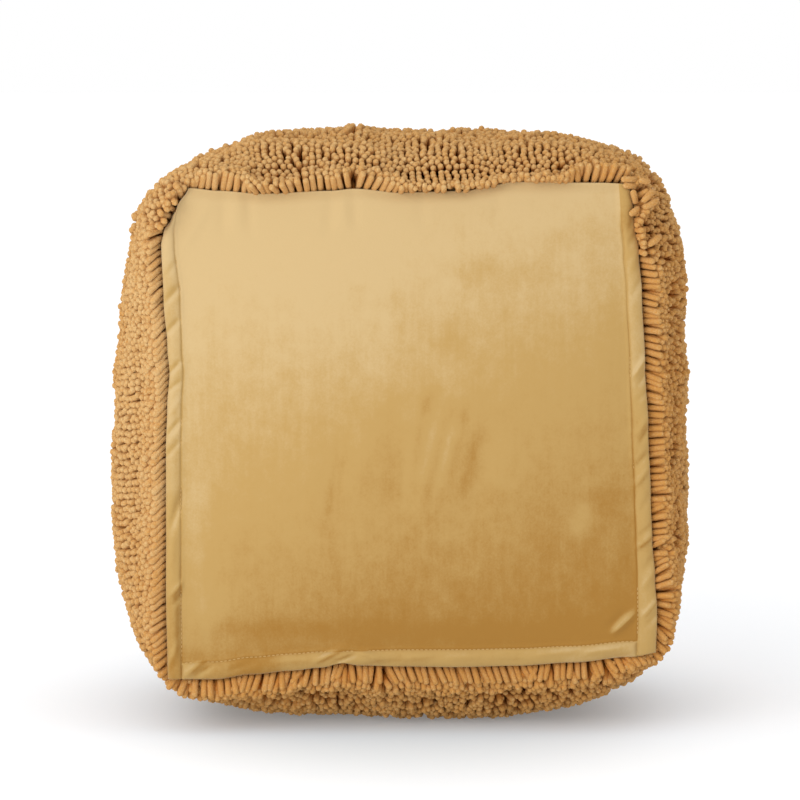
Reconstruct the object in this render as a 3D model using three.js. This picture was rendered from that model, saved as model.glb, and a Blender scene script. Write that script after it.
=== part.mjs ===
// A square pouf that stands on one side. A filled cushion covered with soft chenille fingers,
// its velvet base panel facing the viewer and its crown facing away.
// X runs across, Y from the base panel to the crown, Z up. Millimetres.
import * as THREE from 'three';
import { mergeGeometries, mergeVertices } from 'three/addons/utils/BufferGeometryUtils.js';

// The cushion, over the tips of its fingers
const HALF_WIDTH = 278.5;
const HALF_HEIGHT = 287.5;
const MIDDLE_Z = 279; // the lowest 8.5 mm are pressed flat by the floor
const PRESSED_Z = 45; // below this height the clumps flatten out

// Its section from the seam round the base panel to the middle of the crown. reach is a share of
// the half sizes, y the place in depth, square the power of the rounded square, and shift and
// rise move the ring sideways and up.
const SECTION = [
  { reach: 0.73, y: -172, square: 10, shift: 7, rise: 11 },
  { reach: 0.8, y: -168, square: 8, shift: 6, rise: 10 },
  { reach: 0.88, y: -155, square: 6, shift: 4, rise: 9 },
  { reach: 0.945, y: -132, square: 4.7, shift: 2, rise: 5 },
  { reach: 0.985, y: -100, square: 3.9, shift: 1, rise: 1.5 },
  { reach: 1, y: -45, square: 3.6, shift: 0, rise: 0 },
  { reach: 0.995, y: 20, square: 3.6, shift: 0, rise: 0 },
  { reach: 0.965, y: 78, square: 3.5, shift: 0, rise: 0 },
  { reach: 0.89, y: 128, square: 3.3, shift: 0, rise: 0 },
  { reach: 0.74, y: 162, square: 3.1, shift: 0, rise: 0 },
  { reach: 0.5, y: 181, square: 2.8, shift: 0, rise: 0 },
  { reach: 0.25, y: 189, square: 2.5, shift: 0, rise: 0 },
  { reach: 0, y: 190, square: 2.4, shift: 0, rise: 0 },
];
const SECTION_LENGTH = 630; // along the section, from the seam to the middle of the crown

// How full the outline is round the cushion, by degrees from the right side upwards
const FULLNESS = [
  { at: 0, full: 0.99 },
  { at: 25, full: 0.99 },
  { at: 45, full: 1.03 },
  { at: 65, full: 1.01 },
  { at: 90, full: 0.998 },
  { at: 115, full: 0.99 },
  { at: 135, full: 1.005 },
  { at: 160, full: 0.98 },
  { at: 180, full: 0.998 },
  { at: 210, full: 1.005 },
  { at: 225, full: 1.005 },
  { at: 245, full: 0.975 },
  { at: 270, full: 0.985 },
  { at: 300, full: 0.98 },
  { at: 315, full: 1 },
  { at: 335, full: 1 },
  { at: 360, full: 0.99 },
];

// Clumps in which the fingers lean together, as low waves over the cushion. along and over are the
// two directions of a wave, and start is its phase.
const CLUMPS = [
  { high: 2.6, long: 112, along: [0.8, 0.5, 0.33], over: [-0.3, 0.78, -0.55], start: 0.3 },
  { high: 2.0, long: 93, along: [-0.2, 0.62, 0.76], over: [0.9, -0.1, 0.42], start: 1.7 },
  { high: 1.5, long: 74, along: [0.58, -0.6, 0.55], over: [0.35, 0.5, -0.79], start: 4.1 },
];

// The sunken band beside the seam, where the first rows of fingers are rooted
const CHANNEL = { deep: 15, start: 4, flat: 31, end: 48 };

// Rows of separate fingers in that band, a few to each cell round the cushion. out is the distance
// from the seam, forward the tilt towards the viewer.
const FINGER_ROWS = [
  { perCell: 2, out: 11, long: 27, forward: 18 },
  { perCell: 1, out: 25, long: 25, forward: 42 },
];
const FINGER_WIDTH = 6.2;
const FINGER_DEPTH = 8; // along the section, as the finger leans outwards
const FINGER_TAPER = 0.82;
const FINGER_POINT = 3;
const ROW_STRAY = 3; // between neighbours of one row
const FINGER_SWAY = 10; // degrees either way
const FINGER_DROOP = 0.14;

// The base panel: the cloth, its dome over the filling and the step of its hem
const SEAM_Y = SECTION[0].y;
const CLOTH = 2.5;
const HEM_THICKNESS = 4.5;
const STITCH_DEPTH = 1.4;
const DOME = { high: 16, power: 2.6, x: 7, z: 298, halfWidth: 214, halfHeight: 217 };
const TOP_ROLL = { long: 10, back: 1 };
const CLEARANCE = 0.6;

// Outer edges of the base panel. at is the place along the side, edge the edge itself, hem the
// width of the turned hem and lift how far it stands off the cushion.
const LEFT_SIDE = [
  { at: 54, edge: -218, hem: 13.5, lift: 0 },
  { at: 130, edge: -219, hem: 14, lift: 1 },
  { at: 200, edge: -218.5, hem: 14, lift: 0 },
  { at: 268, edge: -218, hem: 14, lift: 2 },
  { at: 312, edge: -216.5, hem: 13.5, lift: 0 },
  { at: 343, edge: -214, hem: 13, lift: 3 },
  { at: 366, edge: -216, hem: 13.5, lift: 0 },
  { at: 411, edge: -219, hem: 15.5, lift: 2.5 },
  { at: 464, edge: -221, hem: 14, lift: 0 },
  { at: 486, edge: -210, hem: 11, lift: 0 },
  { at: 514, edge: -194, hem: 8, lift: 0 },
];
const RIGHT_SIDE = [
  { at: 79, edge: 240, hem: 18, lift: 0 },
  { at: 115, edge: 240.7, hem: 18, lift: 2 },
  { at: 152, edge: 238.5, hem: 16.5, lift: 0 },
  { at: 188, edge: 235.4, hem: 15, lift: 2.5 },
  { at: 224, edge: 234, hem: 15, lift: 0 },
  { at: 292, edge: 231, hem: 15, lift: 2 },
  { at: 351, edge: 227.6, hem: 14, lift: 0 },
  { at: 419, edge: 224, hem: 14, lift: 2 },
  { at: 454, edge: 221, hem: 14, lift: 0 },
  { at: 490, edge: 216, hem: 12.5, lift: 0 },
  { at: 521, edge: 212, hem: 10, lift: 0 },
];
const BOTTOM_SIDE = [
  { at: -217, edge: 54, hem: 15, lift: 0 },
  { at: -174, edge: 54, hem: 16.5, lift: 1 },
  { at: -138, edge: 58.5, hem: 16.5, lift: 0 },
  { at: -102, edge: 62, hem: 16, lift: 0 },
  { at: -75, edge: 65, hem: 15, lift: 1 },
  { at: -53, edge: 70, hem: 11, lift: 5 },
  { at: -38, edge: 67, hem: 14, lift: 1 },
  { at: 0, edge: 66, hem: 16, lift: 0 },
  { at: 53, edge: 65.6, hem: 16.5, lift: 1 },
  { at: 108, edge: 66.6, hem: 16.5, lift: 0 },
  { at: 161, edge: 70, hem: 15.5, lift: 1 },
  { at: 216, edge: 75, hem: 15, lift: 0 },
  { at: 240, edge: 79, hem: 14, lift: 0 },
];
const TOP_SIDE = [
  { at: -194, edge: 514 },
  { at: -168, edge: 511.6 },
  { at: -127, edge: 509 },
  { at: -65, edge: 511.6 },
  { at: -42, edge: 513.5 },
  { at: 0, edge: 510 },
  { at: 62, edge: 511.6 },
  { at: 76, edge: 514.4 },
  { at: 106, edge: 520 },
  { at: 186, edge: 519 },
  { at: 212, edge: 518 },
];

// Fineness of the meshes
const AROUND = 90;
const CELL = 20;
const BASE_RINGS = 4;
const PANEL_COLUMNS = 14;
const PANEL_ROWS = 18;

const smooth = (w) => w * w * (3 - 2 * w);
const snap = (v) => Math.round(v * 1000) / 1000;
const mix = THREE.MathUtils.lerp;
const clamp01 = (w) => THREE.MathUtils.clamp(w, 0, 1);

// A column of a table at a place between its rows
function read(table, at, column) {
  const next = table.findIndex((row) => row.at >= at);
  if (next === 0) return table[0][column];
  if (next < 0) return table[table.length - 1][column];
  const [a, b] = [table[next - 1], table[next]];
  return mix(a[column], b[column], smooth((at - a.at) / (b.at - a.at)));
}

const sectionCurve = new THREE.SplineCurve(SECTION.map((r) => new THREE.Vector2(r.reach * HALF_WIDTH, r.y)));
const powerCurve = new THREE.SplineCurve(SECTION.map((r) => new THREE.Vector2(r.square, r.rise)));
const shiftCurve = new THREE.SplineCurve(SECTION.map((r) => new THREE.Vector2(r.shift, 0)));

// A point over the fingertips. angle runs round the cushion, out is the distance from the seam.
function envelope(angle, out) {
  const t = sectionCurve.getUtoTmapping(clamp01(out / SECTION_LENGTH));
  const { x: across, y } = sectionCurve.getPoint(t);
  const { x: power, y: rise } = powerCurve.getPoint(t);
  const [c, s] = [Math.cos(angle), Math.sin(angle)];
  const square = (Math.abs(c) / HALF_WIDTH) ** power + (Math.abs(s) / HALF_HEIGHT) ** power;
  const degrees = THREE.MathUtils.euclideanModulo(THREE.MathUtils.radToDeg(angle), 360);
  const reach = across / HALF_WIDTH;
  const fuller = (read(FULLNESS, degrees, 'full') - 1) * (1 - rise / SECTION[0].rise) * reach ** 4;
  const radius = square ** (-1 / power) * reach * (1 + fuller);
  return new THREE.Vector3(shiftCurve.getPoint(t).x + radius * c, y, MIDDLE_Z + rise + radius * s);
}

// Which way the cushion faces there
function facing(angle, out) {
  if (out >= SECTION_LENGTH) return new THREE.Vector3(0, 1, 0);
  const step = 0.01;
  const at = clamp01(out / SECTION_LENGTH) * SECTION_LENGTH;
  const near = Math.min(at + 1, SECTION_LENGTH - 2);
  const round = envelope(angle + step, near).sub(envelope(angle - step, near));
  const along = envelope(angle, near + 1).sub(envelope(angle, near - 1));
  return along.cross(round).normalize();
}

function clump(p) {
  let high = 0;
  for (const wave of CLUMPS) {
    const turn = (way) => (2 * Math.PI * p.dot(new THREE.Vector3(...way))) / wave.long + wave.start;
    high += wave.high * Math.sin(turn(wave.along)) * Math.cos(turn(wave.over));
  }
  return high;
}

// How far the cushion's own surface lies below the fingertips
function sunk(out) {
  const down = smooth(clamp01(out / CHANNEL.start));
  const up = smooth(clamp01((out - CHANNEL.flat) / (CHANNEL.end - CHANNEL.flat)));
  return CHANNEL.deep * down * (1 - up);
}

function cushionPoint(angle, out) {
  const p = envelope(angle, out);
  const rough = clamp01((out - CHANNEL.start) / CHANNEL.end) * smooth(clamp01(p.z / PRESSED_Z));
  p.addScaledVector(facing(angle, out), clump(p) * rough - sunk(out));
  p.z = Math.max(p.z, 0);
  return p;
}

// The dome of the base over the filling
function dome(x, z) {
  const across = Math.min(Math.abs(x - DOME.x) / DOME.halfWidth, 1) ** DOME.power;
  const up = Math.min(Math.abs(z - DOME.z) / DOME.halfHeight, 1) ** DOME.power;
  return DOME.high * (1 - across) * (1 - up);
}

function basePoint(angle, share) {
  const rim = envelope(angle, 0);
  const x = mix(SECTION[0].shift, rim.x, share);
  const z = mix(MIDDLE_Z + SECTION[0].rise, rim.z, share);
  return new THREE.Vector3(x, SEAM_Y - dome(x, z), z);
}

// Angles round the cushion that keep its cells alike at the seam, from 0 back to a whole turn
const lapSteps = 1440;
const lapPoints = Array.from({ length: lapSteps + 1 }, (_, i) => {
  return envelope((-2 * Math.PI * i) / lapSteps, CHANNEL.start);
});
const lapLengths = lapPoints.map((p, i) => (i === 0 ? 0 : p.distanceTo(lapPoints[i - 1])));
lapLengths.forEach((_, i) => { if (i > 0) lapLengths[i] += lapLengths[i - 1]; });

function angleAt(share) {
  const want = share * lapLengths[lapSteps];
  const i = Math.max(1, lapLengths.findIndex((l) => l >= want));
  const part = (want - lapLengths[i - 1]) / (lapLengths[i] - lapLengths[i - 1]);
  return (-2 * Math.PI * (i - 1 + part)) / lapSteps;
}

// The same uneven numbers each time, from -1 to 1
function uneven(index, kind) {
  const wave = Math.sin(index * 12.9898 + kind * 78.233) * 43758.5453;
  return 2 * (wave - Math.floor(wave)) - 1;
}

function onlyPlaces(geometry) {
  geometry.deleteAttribute('normal');
  geometry.deleteAttribute('uv');
  return geometry;
}

// The rings of the cushion, from the middle of the crown to the middle of the base
function makeRings() {
  const rings = [];
  for (let out = SECTION_LENGTH; out > CHANNEL.end + CELL / 2; out -= CELL) rings.push({ out });
  for (const out of [CHANNEL.end, (CHANNEL.end + CHANNEL.flat) / 2, CHANNEL.flat, CHANNEL.start, 0]) {
    rings.push({ out });
  }
  for (let i = 1; i <= BASE_RINGS; i++) rings.push({ share: 1 - i / BASE_RINGS });
  return rings;
}

// The cushion: a ball whose rings become the crown, the sides, the band and the base. The cells of
// the band are left out, for the fingers' own.
function makeCushion() {
  const rings = makeRings();
  const ball = new THREE.SphereGeometry(1, AROUND, rings.length - 1);
  const { position, uv } = ball.attributes;
  const ringOf = [];
  for (let i = 0; i < position.count; i++) {
    const ring = rings[Math.round((1 - uv.getY(i)) * (rings.length - 1))];
    const angle = angleAt(Math.round(uv.getX(i) * AROUND) / AROUND);
    const p = 'out' in ring ? cushionPoint(angle, ring.out) : basePoint(angle, ring.share);
    position.setXYZ(i, p.x, p.y, p.z);
    ringOf.push(ring.out);
  }
  const kept = [];
  const corners = ball.index.array;
  for (let i = 0; i < corners.length; i += 3) {
    const triangle = [corners[i], corners[i + 1], corners[i + 2]];
    const inBand = triangle.every((v) => ringOf[v] === CHANNEL.start || ringOf[v] === CHANNEL.flat);
    if (!inBand) kept.push(...triangle);
  }
  ball.setIndex(kept);
  return onlyPlaces(ball);
}

// One chenille finger: four sides that grow from a square of the cushion to a blunt point
function makeFinger(corners, middle, row, index) {
  const side = facing(middle.angle, middle.out).setY(0).normalize();
  const round = new THREE.Vector3(-side.z, 0, side.x);
  const tilt = THREE.MathUtils.degToRad(row.forward + FINGER_SWAY * 0.5 * uneven(index, 1));
  const sway = THREE.MathUtils.degToRad(FINGER_SWAY * uneven(index, 2));
  const way = side.multiplyScalar(Math.cos(tilt)).addScaledVector(round, Math.sin(sway));
  way.y -= Math.sin(tilt);
  way.z -= FINGER_DROOP;
  way.normalize();
  const long = row.long * (1 + 0.12 * uneven(index, 3));
  const centre = cushionPoint(middle.angle, middle.out);
  const shoulders = corners.map((p) => {
    return p.clone().sub(centre).multiplyScalar(FINGER_TAPER).add(centre).addScaledVector(way, long);
  });
  const point = centre.clone().addScaledVector(way, long + FINGER_POINT);
  const places = [...corners, ...shoulders, point].flatMap((p) => [p.x, p.y, p.z]);
  const faces = [];
  for (let i = 0; i < 4; i++) {
    const j = (i + 1) % 4;
    faces.push(i, j, j + 4, i, j + 4, i + 4, i + 4, j + 4, 8);
  }
  const finger = new THREE.BufferGeometry();
  finger.setAttribute('position', new THREE.Float32BufferAttribute(places, 3));
  finger.setIndex(faces);
  return finger;
}

// A cell of the band: its cloth, with a square opening below each finger, and the fingers
function makeBandCell(cell) {
  const wide = snap(lapLengths[lapSteps] / AROUND);
  const place = (u, out) => ({ angle: angleAt((cell + u / wide) / AROUND), out });
  const shape = new THREE.Shape();
  shape.moveTo(0, CHANNEL.start).lineTo(wide, CHANNEL.start).lineTo(wide, CHANNEL.flat).lineTo(0, CHANNEL.flat);
  const pieces = [];
  FINGER_ROWS.forEach((row, r) => {
    for (let k = 0; k < row.perCell; k++) {
      const u = (wide * (k + 0.5)) / row.perCell;
      const [left, right] = [snap(u - FINGER_WIDTH / 2), snap(u + FINGER_WIDTH / 2)];
      const index = cell * 7 + k + r * 3;
      const out = snap(row.out + ROW_STRAY * (k - 0.5) + 0.5 * uneven(index, 4));
      const [near, far] = [snap(out - FINGER_DEPTH / 2), snap(out + FINGER_DEPTH / 2)];
      const square = [[left, near], [right, near], [right, far], [left, far]];
      shape.holes.push(new THREE.Path(square.map((q) => new THREE.Vector2(...q))));
      const corners = square.map(([x, y]) => cushionPoint(place(x, y).angle, y));
      pieces.push(makeFinger(corners, place(u, out), row, index));
    }
  });
  const cloth = new THREE.ShapeGeometry(shape);
  const { position } = cloth.attributes;
  for (let i = 0; i < position.count; i++) {
    const { angle, out } = place(snap(position.getX(i)), snap(position.getY(i)));
    const p = cushionPoint(angle, out);
    position.setXYZ(i, p.x, p.y, p.z);
  }
  return [onlyPlaces(cloth), ...pieces];
}

function makeShagCover() {
  const pieces = [makeCushion()];
  for (let cell = 0; cell < AROUND; cell++) pieces.push(...makeBandCell(cell));
  return mergeVertices(mergeGeometries(pieces), 1e-3);
}

// Places of the panel's columns or rows, as a share of the hem and then of the cloth within it
function stations(cells, hasFarHem) {
  const list = [{ hem: 0 }, { hem: 0.5 }];
  for (let i = 0; i <= cells; i++) list.push({ inner: i / cells });
  if (hasFarHem) list.push({ farHem: 0.5 }, { farHem: 0 });
  return list;
}

// The cloth of the base panel, a thin box whose points follow the four edges
function makeBasePanel() {
  const columns = stations(PANEL_COLUMNS, true);
  const rows = stations(PANEL_ROWS, false);
  rows.splice(rows.length - 1, 0, { roll: 1 }, { roll: 0.4 });
  const box = new THREE.BoxGeometry(1, 1, 1, columns.length - 1, 1, rows.length - 1);
  const { position } = box.attributes;
  for (let i = 0; i < position.count; i++) {
    const column = columns[Math.round((position.getX(i) + 0.5) * (columns.length - 1))];
    const row = rows[Math.round((position.getZ(i) + 0.5) * (rows.length - 1))];
    const p = panelPoint(column, row, position.getY(i) < 0);
    position.setXYZ(i, p.x, p.y, p.z);
  }
  return mergeVertices(onlyPlaces(box), 1e-3);
}

// Where a station falls between two edges, and how far into a hem it is, from 1 at the stitching
function between(station, near, nearHem, far, farHem) {
  if ('hem' in station) return [near + nearHem * station.hem, station.hem];
  if ('farHem' in station) return [far - farHem * station.farHem, station.farHem];
  if ('roll' in station) return [far - TOP_ROLL.long * station.roll, 1];
  return [mix(near + nearHem, far - farHem, station.inner), 1];
}

// The columns follow the side edges at their height, and the rows the lower and upper edges
function panelPoint(column, row, isFront) {
  let [x, z, acrossSide, acrossBottom] = [DOME.x, DOME.z, 1, 1];
  const edgeAndHem = (table, at) => [read(table, at, 'edge'), read(table, at, 'hem')];
  for (let pass = 0; pass < 3; pass++) {
    [z, acrossBottom] = between(row, ...edgeAndHem(BOTTOM_SIDE, x), read(TOP_SIDE, x, 'edge'), 0);
    [x, acrossSide] = between(column, ...edgeAndHem(LEFT_SIDE, z), ...edgeAndHem(RIGHT_SIDE, z));
  }
  const isHem = Math.min(acrossBottom, acrossSide) < 1;
  const atStitch = !isHem && (column.inner === 0 || column.inner === 1 || row.inner === 0);
  const fromTop = read(TOP_SIDE, x, 'edge') - z;
  const rolled = smooth(clamp01(1 - fromTop / TOP_ROLL.long)) * TOP_ROLL.back;
  const sideLift = read(x < DOME.x ? LEFT_SIDE : RIGHT_SIDE, z, 'lift') * (1 - acrossSide);
  const bottomLift = read(BOTTOM_SIDE, x, 'lift') * (1 - acrossBottom);
  const back = SEAM_Y - CLEARANCE - dome(x, z) - sideLift - bottomLift + rolled;
  const thick = isHem ? HEM_THICKNESS : CLOTH;
  const pressed = atStitch ? STITCH_DEPTH : 0;
  return new THREE.Vector3(x, isFront ? back - thick + pressed : back, z);
}

const chenille = new THREE.MeshStandardMaterial({ color: 0xc99a5b, roughness: 0.95, metalness: 0 });
const velvet = new THREE.MeshStandardMaterial({ color: 0xd2ab6c, roughness: 0.8, metalness: 0 });

const shagCover = new THREE.Mesh(makeShagCover(), chenille);
shagCover.name = 'shag_cover';
const basePanel = new THREE.Mesh(makeBasePanel(), velvet);
basePanel.name = 'base_panel';

// The origin is on the floor below the middle of the whole pouf
const group = new THREE.Group();
group.add(shagCover, basePanel);
const extent = new THREE.Box3().setFromObject(group);
const middle = extent.getCenter(new THREE.Vector3());
group.position.set(-middle.x, -middle.y, -extent.min.z);

export default group;
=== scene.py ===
# A square pouf that stands on one side: a filled cushion covered with soft chenille fingers, with
# its velvet base panel facing the camera. The pieces are worked out in millimetres, from the same
# sizes as the solids, and go into the frame in metres.
import math

import bmesh
import bpy
import numpy as np
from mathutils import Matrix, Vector
from mathutils.kdtree import KDTree


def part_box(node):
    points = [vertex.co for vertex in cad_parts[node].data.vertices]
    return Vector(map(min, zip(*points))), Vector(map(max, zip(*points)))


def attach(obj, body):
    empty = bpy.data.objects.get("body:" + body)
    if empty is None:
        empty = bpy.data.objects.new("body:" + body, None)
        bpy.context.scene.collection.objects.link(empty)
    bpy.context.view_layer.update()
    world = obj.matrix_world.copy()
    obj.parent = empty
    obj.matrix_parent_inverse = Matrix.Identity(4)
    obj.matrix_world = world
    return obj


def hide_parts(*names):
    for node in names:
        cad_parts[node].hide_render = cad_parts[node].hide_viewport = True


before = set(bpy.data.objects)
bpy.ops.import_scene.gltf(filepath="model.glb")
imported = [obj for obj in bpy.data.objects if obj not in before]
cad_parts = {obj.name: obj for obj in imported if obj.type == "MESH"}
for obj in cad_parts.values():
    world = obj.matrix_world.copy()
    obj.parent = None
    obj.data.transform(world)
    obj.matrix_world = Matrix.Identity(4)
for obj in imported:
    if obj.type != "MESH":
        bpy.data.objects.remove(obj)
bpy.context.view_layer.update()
MM = 0.001


def columns(names, *rows):
    """A table with named columns, each one an array."""
    return dict(zip(names.split(), np.array(rows, float).T))


# The cushion, over the tips of its fingers
HALF_WIDTH = 278.5
HALF_HEIGHT = 287.5
MIDDLE_Z = 279
PRESSED_Z = 45

# Its section from the seam round the base panel to the middle of the crown. reach is a share of
# the half sizes, y the place in depth, square the power of the rounded square, and shift and
# rise move the ring sideways and up.
SECTION = columns(
    "reach y square shift rise",
    (0.73, -172, 10, 7, 11),
    (0.8, -168, 8, 6, 10),
    (0.88, -155, 6, 4, 9),
    (0.945, -132, 4.7, 2, 5),
    (0.985, -100, 3.9, 1, 1.5),
    (1, -45, 3.6, 0, 0),
    (0.995, 20, 3.6, 0, 0),
    (0.965, 78, 3.5, 0, 0),
    (0.89, 128, 3.3, 0, 0),
    (0.74, 162, 3.1, 0, 0),
    (0.5, 181, 2.8, 0, 0),
    (0.25, 189, 2.5, 0, 0),
    (0, 190, 2.4, 0, 0),
)
SECTION_LENGTH = 630

# How full the outline is round the cushion, by degrees from the right side upwards
FULLNESS = columns(
    "at full",
    (0, 0.990),
    (6, 0.988),
    (14, 1),
    (22, 0.986),
    (29, 0.996),
    (36, 1.022),
    (46, 1.051),
    (55, 1.024),
    (66, 1.007),
    (77, 0.985),
    (86, 0.998),
    (94, 0.988),
    (100, 1.007),
    (108, 0.996),
    (118, 0.997),
    (124, 0.983),
    (130, 0.984),
    (136, 1.012),
    (141, 1.003),
    (146, 0.971),
    (152, 0.975),
    (160, 0.979),
    (180, 0.997),
    (197, 0.995),
    (208, 1.006),
    (222, 0.997),
    (230, 0.999),
    (238, 0.973),
    (257, 0.971),
    (272, 0.993),
    (284, 0.993),
    (300, 0.974),
    (306, 0.98),
    (313, 1.003),
    (326, 1.021),
    (337, 0.998),
    (350, 0.997),
    (360, 0.990),
)

# How much wider the cushion is at the seam, so that its cloth reaches the panel's hem. It fades out
# over WIDER_UP_TO.
WIDER = columns(
    "at seam",
    (0, 6),
    (20, 3),
    (40, 2),
    (50, 14),
    (60, 8),
    (72, 2),
    (120, 0),
    (130, 10),
    (140, 15),
    (150, 10),
    (165, 6),
    (190, 8),
    (210, 12),
    (221, 19),
    (229, 27),
    (238, 13),
    (250, 3),
    (305, 0),
    (314, 8),
    (320, 24),
    (326, 26),
    (332, 19),
    (342, 12),
    (360, 6),
)
WIDER_UP_TO = 90

# Clumps in which the fingers lean together, as low waves over the cushion
CLUMPS = [
    {"high": 2.6, "long": 112, "along": (0.8, 0.5, 0.33), "over": (-0.3, 0.78, -0.55), "start": 0.3},
    {"high": 2.0, "long": 93, "along": (-0.2, 0.62, 0.76), "over": (0.9, -0.1, 0.42), "start": 1.7},
    {"high": 1.5, "long": 74, "along": (0.58, -0.6, 0.55), "over": (0.35, 0.5, -0.79), "start": 4.1},
]

# The backing cloth below the fingertips: near the seam, and where the fingers stand upright
CHANNEL_DEEP = 5.5
CHANNEL_DEEP_ON_TOP = 3.5
CHANNEL_START = 4
PILE = 23.5
PILE_FROM = 48
LEAST_PILE = 13
BACKING_AROUND = 180
BACKING_RINGS = 72

# The chenille fingers
PITCH = 6.7
ROW_PITCH = 7.1
FIRST_ROWS_CLOSER = 0.1
CROWN_ROW_PITCH = 7.9
FINGER_RADIUS = 3.0
FINGER_LONG = 24.5
FINGER_SIDES = 6
ROOT_DEPTH = 1.5
CROWN_FROM = 350
CORNER_GAP = 1.6
CROWDED = 0.72
THICK_SPREAD = (0.94, 1.05)
LONG_SPREAD = (0.93, 1.06)
MEAN_RADIUS = 280
ROOTS_STRAY = {"near": 0.4, "more": 0.5, "from": 60, "over": 60}
SEED = 11

# How they lean, by the distance out from the first row: the first rows are calm and lean forward.
# A finger bends, so that its low and its high half lean by different shares.
CLUMP_AREA = 50**2
CLUMP_BLUR = 8
CLUMP_LEAN = (0.1, 0.6)
CALM = {"least": 0.6, "from": 0, "over": 30}
FIRST_ROW = {"from": 2, "over": 6}
FIRST_ROWS = {"from": 6, "over": 20}
ROWS_AFTER = {"from": 12, "over": 16}
ROWS_AFTER_END = {"from": 90, "over": 130}
FORWARD = columns("out degrees", (0, 8), (11, 16), (25, 28), (45, 30))
FORWARD_BLEND = {"from": 12, "over": 33}
LATER_DROOP = 0.25
LOW_HALF = {"lean": 0.8, "droop": 0.5, "forward": 1}
HIGH_HALF = {"lean": 1.3, "droop": 1.2, "forward": 1.3}

# By degrees from the right side upwards: how far the first row is tucked behind the panel's edge,
# how many degrees the first row and then all the first rows lean further forward, how much the
# rows after them do, how strongly the clumps lean, how far single fingers stray, how much the
# first rows droop and lean to the right, and how thick the fingers are
LEANS = columns(
    "at tucked first forward after clumps stray droop right thick",
    (0, 6.5, 9, 0, 0.1, 0.9, 0.13, 0.05, 0, 1.01),
    (30, 5, 10, 4, 0.1, 0.9, 0.15, 0.05, 0, 1.01),
    (36, 1, 0, 34, 0.5, 0.3, 0.1, 0.05, 0, 1.02),
    (39, 1, 0, 68, 0.8, 0.3, 0.07, 0, 0, 1.03),
    (42, 0, 0, 68, 0.5, 0.3, 0.1, 0, 0, 1.03),
    (45, 0, 0, 26, 0.3, 0.4, 0.16, 0, 0, 1.02),
    (53, 1, 0, 24, 0.4, 0.5, 0.14, 0, 0.1, 1),
    (60, 1, 0, 60, 0.9, 0.4, 0.05, 0, 0, 1),
    (89, 1, 0, 66, 0.9, 0.4, 0.04, 0, 0, 1),
    (94, 1, 0, 50, 0.7, 0.4, 0.05, 0, 0.3, 1.02),
    (97, 1.5, 0, 38, 0.6, 0.4, 0.05, 0, 0.5, 1.04),
    (101, 1.5, 0, 36, 0.6, 0.4, 0.06, 0, 0.3, 1.04),
    (104, 1.5, 0, 38, 0.6, 0.8, 0.06, 0, -0.3, 1.02),
    (108, 1.5, 0, 38, 0.6, 0.9, 0.06, 0, -0.1, 1.02),
    (118, 1.5, 0, 38, 0.6, 1, 0.06, 0, 0, 1.02),
    (122, 1.5, 0, 36, 0.6, 1, 0.06, 0, -0.2, 1.02),
    (126, 1.5, 0, 34, 0.6, 0.8, 0.05, 0, 0.1, 1.03),
    (129, 1.5, 0, 30, 0.5, 0.4, 0.03, 0, 0.25, 1.04),
    (132, 1, 0, 30, 0.4, 0.3, 0.06, 0.1, 0.5, 1.04),
    (134, 0, 0, 46, 0.3, 0.4, 0.14, 0.2, 0.1, 1.04),
    (139, 0, 0, 40, 0.2, 0.4, 0.14, 0.3, 0, 1.06),
    (143, 1, 2, 24, 0.15, 0.25, 0.08, 0.6, 0, 1.1),
    (150, 3, 0, 14, 0.15, 0.15, 0.04, 0.8, 0, 1.18),
    (208, 3, 0, 12, 0.15, 0.15, 0.04, 0.8, 0, 1.18),
    (228, 3, 6, 8, 0.2, 0.5, 0.08, 0.3, 0, 1.06),
    (245, 4, 5, 2, 0.4, 1.6, 0.25, 0.05, -0.1, 1),
    (265, 4, 5, 2, 0.4, 1.6, 0.25, 0.05, 0.15, 1),
    (290, 4, 5, 2, 0.4, 1.6, 0.25, 0.05, 0.35, 1),
    (305, 5, 6, 2, 0.3, 1.4, 0.2, 0.05, 0.2, 1),
    (325, 7, 9, 0, 0.1, 1, 0.15, 0.05, 0, 1),
    (343, 7, 9, 0, 0.1, 1, 0.14, 0.05, 0, 1),
    (360, 6.5, 9, 0, 0.1, 0.9, 0.13, 0.05, 0, 1.01),
)

# Painted light round the lap: how much lighter the chenille is drawn on its lit upper left, and
# how much deeper in its shade on the right and below. 1 is the whole span of single fingers.
# The first row shows its fingers down to their roots, so these don't take the painted shade at the
# roots.
PAINTED_LIGHT_BY_SIDE = columns(
    "at more",
    (0, -1.1),
    (45, -0.5),
    (70, 0.4),
    (130, 0.5),
    (155, 1),
    (190, 0.8),
    (212, 0.1),
    (235, -0.8),
    (360, -1.1),
)

ROOTS_SHOWN = {"least": 0.76, "painted_light": 0.06, "from": 3, "over": 12}

# Far from the panel all the cloth is alike
ALIKE = {"from": 60, "over": 80, "stray": 0.09, "clumps": 0.7, "thick": 1.04}

# Single fingers that lie over the panel's two upper corners. over is how far the head stands before
# the cloth.
TUFTS = columns(
    "foot_x foot_z head_x head_z over",
    (219, 522, 206.7, 522.3, 4),
    (218, 515.5, 208.5, 516.7, 4),
    (230, 519.5, 223, 521, 5),
    (218, 500, 215.2, 510, 4),
    (221, 496, 214, 491.3, 5),
    (234, 512, 225.4, 503.7, 5),
    (238, 503, 226.8, 497.4, 5),
    (240.5, 469.5, 231, 463, 6),
    (-215.5, 501.5, -213.6, 500.4, 11),
    (-209.5, 503, -207.4, 501.4, 11),
    (-216.5, 497, -214.5, 495.2, 11),
    (-222, 493, -220.1, 491.5, 12),
    (-219, 485.5, -217, 484.2, 11),
    (-223, 480, -220.8, 478.5, 10),
    (-216, 503, -209.5, 509.5, 6),
    (-207.5, 517, -205.2, 515.5, 9),
)
TUFT_FOOT_BEHIND = 7
TUFT_THICK = 1.05

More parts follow.
